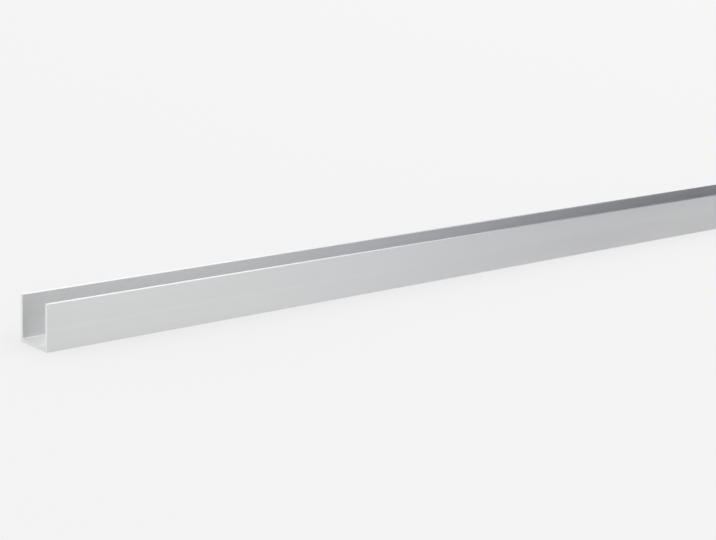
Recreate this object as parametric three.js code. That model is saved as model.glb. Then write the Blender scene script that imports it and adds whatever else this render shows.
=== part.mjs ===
// Aluminium U-channel: one stock length of extruded channel, two equal flanges standing on a flat
// web, with thin even walls and small radii at every corner. Both ends are sawn square and deburred.
//
// Millimetres. X runs along the channel, Y across it and Z up. It lies on its web with the groove
// open upwards, and the origin is the middle of the web's underside.

import * as THREE from "three";

const LENGTH = 1000; // one stock length, sawn end to sawn end
const WIDTH = 20; // over the outsides of the two flanges
const HEIGHT = 20; // from the underside of the web to the tips of the flanges
const WEB_WALL = 1.5;
const FLANGE_WALL = 1.5;

const HEEL_RADIUS = 0.3; // the two outside corners under the web
const ROOT_RADIUS = 0.4; // the two inside corners, where the flanges rise from the web
const TIP_RADIUS = 0.1; // the two edges along the tip of each flange
const DEBURR = 0.08; // 45 degree break round the outline of each sawn end

const TIP_SHARE = 0.45; // most of a flange's thickness that either of its tip radii may take

const ARC_DIVISIONS = 4; // divisions of each quarter circle in the section

const METAL = new THREE.MeshStandardMaterial({
  name: "satin_aluminium",
  color: 0xc6c8c8,
  metalness: 1,
  roughness: 0.35,
});

// The section's eight corners as [across, up, radius], anticlockwise from the left heel. A tip's two
// radii share the thickness of the flange, and the break at the sawn ends stays inside them.
function sectionCorners() {
  const side = WIDTH / 2;
  const inside = side - FLANGE_WALL;
  const tip = Math.min(TIP_RADIUS, FLANGE_WALL * TIP_SHARE);
  return [
    [-side, 0, HEEL_RADIUS],
    [side, 0, HEEL_RADIUS],
    [side, HEIGHT, tip],
    [inside, HEIGHT, tip],
    [inside, WEB_WALL, ROOT_RADIUS],
    [-inside, WEB_WALL, ROOT_RADIUS],
    [-inside, HEIGHT, tip],
    [-side, HEIGHT, tip],
  ].map(([across, up, radius]) => ({ at: new THREE.Vector2(across, up), radius }));
}

// A closed outline that runs straight between the corners and turns each one on its own quarter
// circle, whether the corner points outwards or inwards.
function roundedOutline(corners) {
  const outline = new THREE.Shape();
  corners.forEach(({ at, radius }, i) => {
    const before = corners.at(i - 1).at;
    const after = corners[(i + 1) % corners.length].at;
    const arriving = at.clone().sub(before).normalize();
    const leaving = after.clone().sub(at).normalize();
    const start = at.clone().addScaledVector(arriving, -radius);
    const centre = start.clone().addScaledVector(leaving, radius);
    const end = at.clone().addScaledVector(leaving, radius);
    const clockwise = arriving.cross(leaving) < 0;
    const startAngle = start.sub(centre).angle();
    const endAngle = end.sub(centre).angle();
    outline.absarc(centre.x, centre.y, radius, startAngle, endAngle, clockwise);
  });
  outline.closePath();
  return outline;
}

// The section drawn out along the channel. The bevel is the deburred edge: it starts DEBURR inside
// the section at each sawn face and reaches the full section DEBURR further in.
function channelGeometry() {
  return new THREE.ExtrudeGeometry(roundedOutline(sectionCorners()), {
    depth: LENGTH - 2 * DEBURR,
    curveSegments: ARC_DIVISIONS,
    bevelEnabled: true,
    bevelSegments: 1,
    bevelThickness: DEBURR,
    bevelSize: DEBURR,
    bevelOffset: -DEBURR,
  });
}

// The extrusion runs along its own Z, with the section's across and up as its X and Y. The two
// quarter turns lay it along X with the flanges pointing up.
function uChannel() {
  const channel = new THREE.Mesh(channelGeometry(), METAL);
  channel.name = "u_channel";
  channel.rotation.set(Math.PI / 2, Math.PI / 2, 0);
  channel.position.x = DEBURR - LENGTH / 2;
  return channel;
}

const profile = new THREE.Group();
profile.add(uChannel());

export default profile;
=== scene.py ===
"""Satin aluminium U-channel, one stock length, on a pale studio floor."""

import math

import bmesh
import bpy
from mathutils import Matrix, Vector

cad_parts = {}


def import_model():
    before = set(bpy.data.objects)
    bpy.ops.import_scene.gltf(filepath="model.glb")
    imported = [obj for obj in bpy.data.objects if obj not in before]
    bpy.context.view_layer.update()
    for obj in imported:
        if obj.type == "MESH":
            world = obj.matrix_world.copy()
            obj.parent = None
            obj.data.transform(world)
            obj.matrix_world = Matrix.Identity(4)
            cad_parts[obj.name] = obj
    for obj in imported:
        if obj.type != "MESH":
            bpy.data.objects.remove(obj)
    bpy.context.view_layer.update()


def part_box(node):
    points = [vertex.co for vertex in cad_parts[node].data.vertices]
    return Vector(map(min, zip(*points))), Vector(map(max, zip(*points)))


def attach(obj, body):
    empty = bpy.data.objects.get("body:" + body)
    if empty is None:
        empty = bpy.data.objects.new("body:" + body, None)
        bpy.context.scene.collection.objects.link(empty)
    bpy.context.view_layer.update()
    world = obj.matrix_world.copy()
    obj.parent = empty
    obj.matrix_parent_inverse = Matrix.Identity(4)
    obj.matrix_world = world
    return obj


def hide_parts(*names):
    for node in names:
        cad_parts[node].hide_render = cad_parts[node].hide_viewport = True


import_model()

# ------------------------------------------------------------------ sizes, in metres
NODE = "u_channel"
LOW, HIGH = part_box(NODE)
WEB_WALL = 0.0015
FLANGE_WALL = 0.0015
HEEL_RADIUS = 0.0003
ROOT_RADIUS = 0.0004
TIP_RADIUS = 0.0001
DEBURR = 0.00008

# ------------------------------------------------------------------ fineness of the mesh
ARC_STEPS = 6  # on each quarter circle of the section
FLAT_STEPS = 6  # across each side of the flanges and the web
END_STEPS = 4  # round the deburred edge of a sawn end
BODY_STEPS = 80  # along the channel, between its deburred edges
SAWN_INDEX = 1  # of the sawn metal among the mesh's materials

# ------------------------------------------------------------------ UV map, for the tangent and the bake
UV_MAP = "OFBake"
SKIN_UV_CORNER = (0.01, 0.05)
SKIN_UV_SPAN = (0.98, 0.94)  # of the whole length, and of once round the section
NEAR_UV_CORNER = (0.02, 0.005)
FAR_UV_CORNER = (0.52, 0.005)
SAWN_UV_SCALE = (20, 2)  # for each metre across and up

# ------------------------------------------------------------------ extruded metal
METAL = (0.82, 0.824, 0.827)
COLOUR_STREAK = 0.02
ROUGHNESS = 0.365
ROUGH_STREAK = 0.02
ROUGH_CLOUD = 0.012
ANISOTROPY = 1.0
ANISOTROPY_TURN = 0.25  # of a full turn, because the lines spread light across them
LINE_DEPTH = 0.000004  # metres

# cells of noise in a metre along X, Y and Z
BAND_CELLS = (0.9, 190, 190)
LINE_CELLS = (0.7, 900, 900)
HAIR_CELLS = (22, 4200, 4200)
CLOUD_CELLS = (14, 40, 40)

# what each layer gives to the streaks in colour and roughness, and to the relief
BAND_SHARE = 0.4
LINE_SHARE = 0.45
HAIR_SHARE = 0.15
LINE_RELIEF = 0.8
HAIR_RELIEF = 0.2

# the stretches of the noise over which the streaks and the clouds change
STREAK_RANGE = (0.35, 0.65)
CLOUD_RANGE = (0.3, 0.7)

# ------------------------------------------------------------------ sawn metal
SAWN_METAL = (0.88, 0.884, 0.886)
SAWN_COLOUR_GRAIN = 0.04
SAWN_ROUGHNESS = (0.28, 0.42)  # from the hollows to the crests
SAWN_RELIEF_RANGE = (0.3, 1.7)  # of the strokes and the grain together
STROKE_SCALE = 520.0  # a stroke every 0.6 mm
STROKE_WOBBLE = {"Distortion": 1.2, "Detail": 2.0, "Detail Scale": 0.4}
GRAIN_CELLS = (3000, 500, 3000)
SAWN_BUMP_STRENGTH = 0.6
SAWN_DEPTH = 0.00002  # metres

# ------------------------------------------------------------------ studio
FLOOR_REACH = 20.0  # metres each way
FLOOR_COLOUR = 0.42
FLOOR_ROUGHNESS = 0.9
FLOOR_GLOW = 0.50
SKY_FILL = 0.82  # of the world's light on matt surfaces
WALL_LEVEL = 0.5  # of the world at the horizon
WALL_TOP = (0.2, 0.45)  # sines of the heights between which the wall gives way to the sky
GREY_SKY = [  # (degrees from the +X axis, level)
    (0, 0.95),
    (23, 0.9),
    (30, 0.5),
    (32, 0.02),
    (42.5, 0.02),
    (47, 0.5),
    (52.5, 1.0),
    (180, 1.0),
]
GREY_TINT = (0.86, 0.9, 1.3)  # in red, green and blue: above 1 is lighter in the greys
KEY_PLACE = (2.5, -0.2, 4.0)
KEY_TARGET = (0.0, 0.0, 0.0)
KEY_SIZE = (7.0, 3.2)
KEY_POWER = 58.0
GLOSSY_BOUNCES = 12

# ------------------------------------------------------------------ camera
CAMERA_PLACE = (-0.8537, -0.5769, 0.2)
CAMERA_HEADING = 42.536  # degrees from +Y towards +X
CAMERA_PITCH = 13.718  # degrees down
CAMERA_ROLL = 2.502  # degrees anticlockwise, as seen from behind the camera
SENSOR_WIDTH = 36.0  # millimetres, as the lens
LENS = 86.2513
CLIP_END = 100.0


# ------------------------------------------------------------------ helpers
def about(middle, spread):
    return middle - spread, middle + spread


def rgba(colour, times=1.0):
    return [times * c for c in colour] + [1.0]


def grey(level):
    return rgba((level, level, level))


def add_object(name, data):
    item = bpy.data.objects.new(name, data)
    bpy.context.scene.collection.objects.link(item)
    return item


class Nodes:
    """A short way to write a node tree."""

    def __init__(self, tree):
        self.tree = tree
        tree.nodes.clear()

    def plug(self, socket, value):
        if isinstance(value, bpy.types.NodeSocket):
            self.tree.links.new(value, socket)
        else:
            socket.default_value = value

    def add(self, kind, inputs=(), **settings):
        node = self.tree.nodes.new(kind)
        for name, value in settings.items():
            setattr(node, name, value)
        for name, value in dict(inputs).items():
            self.plug(node.inputs[name], value)
        return node

    def maths(self, operation, *values):
        node = self.add("ShaderNodeMath", operation=operation)
        for socket, value in zip(node.inputs, values):
            self.plug(socket, value)
        return node.outputs[0]

    def remap(self, value, given, wanted):
        """From the given (low, high) to the wanted (low, high)."""
        inputs = {
            "Value": value,
            "From Min": given[0],
            "From Max": given[1],
            "To Min": wanted[0],
            "To Max": wanted[1],
        }
        return self.add("ShaderNodeMapRange", inputs).outputs[0]

    def noise(self, coordinates, cells, detail):
        mapping = self.add("ShaderNodeMapping", {"Vector": coordinates, "Scale": cells})
        inputs = {"Vector": mapping.outputs[0], "Scale": 1.0, "Detail": detail}
        return self.add("ShaderNodeTexNoise", inputs).outputs["Fac"]

    def mixed(self, *parts):
        """The sum of each (value, share)."""
        total = 0.0
        for value, share in parts:
            total = self.maths("ADD", total, self.maths("MULTIPLY", value, share))
        return total

    def blend(self, factor, first, second):
        """From the first colour to the second."""
        node = self.add("ShaderNodeMix", data_type="RGBA")
        for index, value in ((0, factor), (6, first), (7, second)):  # the sockets of its RGBA mode
            self.plug(node.inputs[index], value)
        return node.outputs[2]

    def bump(self, height, strength, depth):
        inputs = {"Strength": strength, "Distance": depth, "Height": height}
        return self.add("ShaderNodeBump", inputs).outputs[0]

    def principled(self, inputs):
        shader = self.add("ShaderNodeBsdfPrincipled", inputs)
        self.add("ShaderNodeOutputMaterial", {"Surface": shader.outputs[0]})


def new_material(name):
    material = bpy.data.materials.new(name)
    material.use_nodes = True
    return material, Nodes(material.node_tree)


# ------------------------------------------------------------------ materials
def extruded_metal():
    """Pushed through the die: bands and lines that run the whole length, hairline scratches between
    them, and soft cloudy patches."""
    material, n = new_material("extruded_aluminium")
    where = n.add("ShaderNodeTexCoord").outputs["Object"]
    bands = n.noise(where, BAND_CELLS, 1.0)
    lines = n.noise(where, LINE_CELLS, 2.0)
    hairs = n.noise(where, HAIR_CELLS, 1.0)
    cloud = n.noise(where, CLOUD_CELLS, 2.0)
    streaks = n.mixed((bands, BAND_SHARE), (lines, LINE_SHARE), (hairs, HAIR_SHARE))
    relief = n.mixed((lines, LINE_RELIEF), (hairs, HAIR_RELIEF))
    dark, light = (rgba(METAL, times) for times in about(1, COLOUR_STREAK))
    rough_streaks = n.remap(streaks, STREAK_RANGE, about(ROUGHNESS, ROUGH_STREAK))
    rough_clouds = n.remap(cloud, CLOUD_RANGE, about(0, ROUGH_CLOUD))
    tangent = n.add("ShaderNodeTangent", direction_type="UV_MAP", uv_map=UV_MAP)
    n.principled(
        {
            "Base Color": n.blend(n.remap(streaks, STREAK_RANGE, (0, 1)), dark, light),
            "Metallic": 1.0,
            "Roughness": n.maths("ADD", rough_streaks, rough_clouds),
            "Normal": n.bump(relief, 1.0, LINE_DEPTH),
            "Anisotropic": ANISOTROPY,
            "Anisotropic Rotation": ANISOTROPY_TURN,
            "Tangent": tangent.outputs[0],
        }
    )
    return material


def sawn_metal():
    """Bright saw cut: the blade's strokes, close together and slightly wavy, and their grain."""
    material, n = new_material("sawn_aluminium")
    where = n.add("ShaderNodeTexCoord").outputs["Object"]
    waves = {"Vector": where, "Scale": STROKE_SCALE, **STROKE_WOBBLE}
    strokes = n.add("ShaderNodeTexWave", waves, bands_direction="Z").outputs["Fac"]
    grain = n.noise(where, GRAIN_CELLS, 2.0)
    height = n.maths("ADD", strokes, grain)
    dark, light = (rgba(SAWN_METAL, times) for times in about(1, SAWN_COLOUR_GRAIN))
    n.principled(
        {
            "Base Color": n.blend(grain, dark, light),
            "Metallic": 1.0,
            "Roughness": n.remap(height, SAWN_RELIEF_RANGE, SAWN_ROUGHNESS),
            "Normal": n.bump(height, SAWN_BUMP_STRENGTH, SAWN_DEPTH),
        }
    )
    return material


# ------------------------------------------------------------------ the channel
def arc(centre, radius, start, end):
    """Points on a circle from the start angle to the end angle, in degrees."""
    steps = (start + (end - start) * i / ARC_STEPS for i in range(ARC_STEPS + 1))
    return [
        (centre[0] + radius * math.cos(a), centre[1] + radius * math.sin(a))
        for a in map(math.radians, steps)
    ]


def join(*arcs):
    """The arcs in one list, with the points of the flats between them."""
    points = []
    for bend in arcs:
        if points:
            (a, b), (c, d) = points[-1], bend[0]
            points += [
                (a + (c - a) * i / FLAT_STEPS, b + (d - b) * i / FLAT_STEPS)
                for i in range(1, FLAT_STEPS)
            ]
        points += bend
    return points


def section():
    """The outline as (across, up) points: out along the outside from the left tip to the right tip,
    then back along the inside. Point i faces point -1 - i through the wall."""
    side = (HIGH.y - LOW.y) / 2
    height = HIGH.z - LOW.z
    inside = side - FLANGE_WALL
    tip, heel, root = TIP_RADIUS, HEEL_RADIUS, ROOT_RADIUS
    outer = join(
        arc((-side + tip, height - tip), tip, 90, 180),
        arc((-side + heel, heel), heel, 180, 270),
        arc((side - heel, heel), heel, 270, 360),
        arc((side - tip, height - tip), tip, 0, 90),
    )
    inner = join(
        arc((-inside - tip, height - tip), tip, 90, 0),
        arc((-inside + root, WEB_WALL + root), root, 180, 270),
        arc((inside - root, WEB_WALL + root), root, 270, 360),
        arc((inside + tip, height - tip), tip, 180, 90),
    )
    return outer + inner[::-1]


def shrunk(points, depth):
    """The outline moved inwards by depth, each point along its own corner's bisector."""
    result = []
    for i, point in enumerate(points):
        here = Vector(point)
        arriving = (here - Vector(points[i - 1])).normalized()
        leaving = (Vector(points[(i + 1) % len(points)]) - here).normalized()
        along = (arriving + leaving).normalized()
        inward = Vector((-along.y, along.x))
        result.append(tuple(here + inward * depth))
    return result


def stations():
    """Each (x, depth) from end to end: where a ring of points stands, and how far it is shrunk. The
    rings nearest to an end make its deburred edge."""
    half = (HIGH.x - LOW.x) / 2
    middle = (HIGH.x + LOW.x) / 2
    edge = []  # from the sawn face to the full section, with x from the middle
    for i in range(END_STEPS + 1):
        turn = math.radians(90 * i / END_STEPS)
        edge.append((half - DEBURR * (1 - math.cos(turn)), DEBURR * (1 - math.sin(turn))))
    near = [(middle - reach, depth) for reach, depth in edge]
    far = [(middle + reach, depth) for reach, depth in edge[::-1]]
    start = middle - half + DEBURR
    span = 2 * (half - DEBURR)
    body = [(start + span * i / BODY_STEPS, 0.0) for i in range(1, BODY_STEPS)]
    return near + body + far


def add_skin(bm, uv, rings, outline):
    """The extruded surface, from ring to ring. Its U runs along the channel, its V round the section."""
    count = len(outline)
    lengths = [0.0]
    for here, after in zip(outline, outline[1:] + outline[:1]):
        lengths.append(lengths[-1] + math.dist(here, after))

    def place(ring, i):
        along = (ring[0].co.x - LOW.x) / (HIGH.x - LOW.x)
        shares = (along, lengths[i] / lengths[-1])
        return [c + span * s for c, span, s in zip(SKIN_UV_CORNER, SKIN_UV_SPAN, shares)]

    for near, far in zip(rings, rings[1:]):
        for i in range(count):
            j = (i + 1) % count
            face = bm.faces.new((near[i], far[i], far[j], near[j]))
            face.smooth = True
            corners = ((near, i), (far, i), (far, i + 1), (near, i + 1))
            for loop, (ring, k) in zip(face.loops, corners):
                loop[uv].uv = place(ring, k)


def add_sawn_end(bm, uv, ring, uv_corner, winding):
    """Quads that join each step of the outside to the step that it faces on the inside. The winding is
    1 or -1, whichever makes them face out of this end."""
    for i in range(len(ring) // 2 - 1):
        quad = (ring[i], ring[i + 1], ring[-2 - i], ring[-1 - i])
        face = bm.faces.new(quad[::winding])
        face.material_index = SAWN_INDEX
        for loop in face.loops:
            shares = (loop.vert.co.y - LOW.y, loop.vert.co.z - LOW.z)
            loop[uv].uv = [c + s * scale for c, s, scale in zip(uv_corner, shares, SAWN_UV_SCALE)]


def channel():
    """The visual piece: the extruded skin and both sawn ends in one mesh."""
    outline = section()
    bm = bmesh.new()
    uv = bm.loops.layers.uv.new(UV_MAP)
    rings = []
    for x, depth in stations():
        points = shrunk(outline, depth) if depth else outline
        rings.append([bm.verts.new((x, y, z)) for y, z in points])
    add_skin(bm, uv, rings, outline)
    add_sawn_end(bm, uv, rings[0], NEAR_UV_CORNER, 1)
    add_sawn_end(bm, uv, rings[-1], FAR_UV_CORNER, -1)
    bm.normal_update()

    mesh = bpy.data.meshes.new("channel")
    bm.to_mesh(mesh)
    bm.free()
    mesh.materials.append(extruded_metal())
    mesh.materials.append(sawn_metal())
    return add_object("channel", mesh)


# ------------------------------------------------------------------ studio
def seen_ray(n):
    """1 for a ray that sees the background: from the camera, reflected in the metal or through glass."""
    path = n.add("ShaderNodeLightPath")
    seen = path.outputs["Is Camera Ray"]
    for ray in ("Is Glossy Ray", "Is Transmission Ray"):
        seen = n.maths("MAXIMUM", seen, path.outputs[ray])
    return seen


def floor():
    """A pale floor that takes the object's shadow. The glow that brings it close to white is the same
    for the camera and for what the metal reflects."""
    corners = [(-1, -1), (1, -1), (1, 1), (-1, 1)]
    mesh = bpy.data.meshes.new("floor")
    mesh.from_pydata(
        [(FLOOR_REACH * x, FLOOR_REACH * y, LOW.z) for x, y in corners], [], [(0, 1, 2, 3)]
    )
    material, n = new_material("floor")
    n.principled(
        {
            "Base Color": grey(FLOOR_COLOUR),
            "Roughness": FLOOR_ROUGHNESS,
            "Specular IOR Level": 0.0,
            "Emission Color": grey(1.0),
            "Emission Strength": n.maths("MULTIPLY", seen_ray(n), FLOOR_GLOW),
        }
    )
    mesh.materials.append(material)
    add_object("floor", mesh)


def world():
    """A studio room: grey walls, and a white sky above them but for a grey part high up past the +X
    end, out of the picture, that darkens the groove towards that end. The camera and the metal see
    the same. The light that the world lays on matt surfaces and the softbox's add up to a plain
    level."""
    item = bpy.data.worlds.new("studio")
    bpy.context.scene.world = item
    item.use_nodes = True
    item.cycles.sampling_method = "NONE"  # a light sample wouldn't know its kind of ray
    n = Nodes(item.node_tree)
    direction = n.add("ShaderNodeTexCoord").outputs["Generated"]
    towards = n.add("ShaderNodeSeparateXYZ", {"Vector": direction})
    from_x_axis = n.maths("ARCCOSINE", towards.outputs["X"])
    sky = n.add("ShaderNodeValToRGB", {"Fac": n.maths("DIVIDE", from_x_axis, math.pi)})
    stops = sky.color_ramp.elements
    while len(stops) < len(GREY_SKY):
        stops.new(0.5)
    for stop, (angle, level) in zip(stops, GREY_SKY):
        stop.position = angle / 180
        stop.color = rgba(level ** (1 / tint) for tint in GREY_TINT)
    above_wall = n.remap(towards.outputs["Z"], WALL_TOP, (0.0, 1.0))
    room = n.blend(above_wall, grey(WALL_LEVEL), sky.outputs["Color"])
    colour = n.blend(seen_ray(n), grey(SKY_FILL), room)
    shader = n.add("ShaderNodeBackground", {"Color": colour, "Strength": 1.0})
    n.add("ShaderNodeOutputWorld", {"Surface": shader.outputs[0]})


def softbox(name, place, target, size, power):
    light = bpy.data.lights.new(name, "AREA")
    light.shape = "RECTANGLE"
    light.size, light.size_y = size
    light.energy = power
    item = add_object(name, light)
    item.location = place
    item.rotation_euler = (Vector(target) - Vector(place)).to_track_quat("-Z", "Y").to_euler()


def camera():
    data = bpy.data.cameras.new("camera")
    data.sensor_width = SENSOR_WIDTH
    data.lens = LENS
    data.clip_end = CLIP_END
    item = add_object("camera", data)
    item.matrix_world = (
        Matrix.Translation(CAMERA_PLACE)
        @ Matrix.Rotation(math.radians(-CAMERA_HEADING), 4, "Z")
        @ Matrix.Rotation(math.radians(90 - CAMERA_PITCH), 4, "X")
        @ Matrix.Rotation(math.radians(CAMERA_ROLL), 4, "Z")
    )
    bpy.context.scene.camera = item


camera()
piece = channel()
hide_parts(NODE)
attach(piece, "root")
floor()
world()
softbox("key_softbox", KEY_PLACE, KEY_TARGET, KEY_SIZE, KEY_POWER)
bpy.context.scene.view_settings.view_transform = "Standard"
bpy.context.scene.cycles.glossy_bounces = GLOSSY_BOUNCES
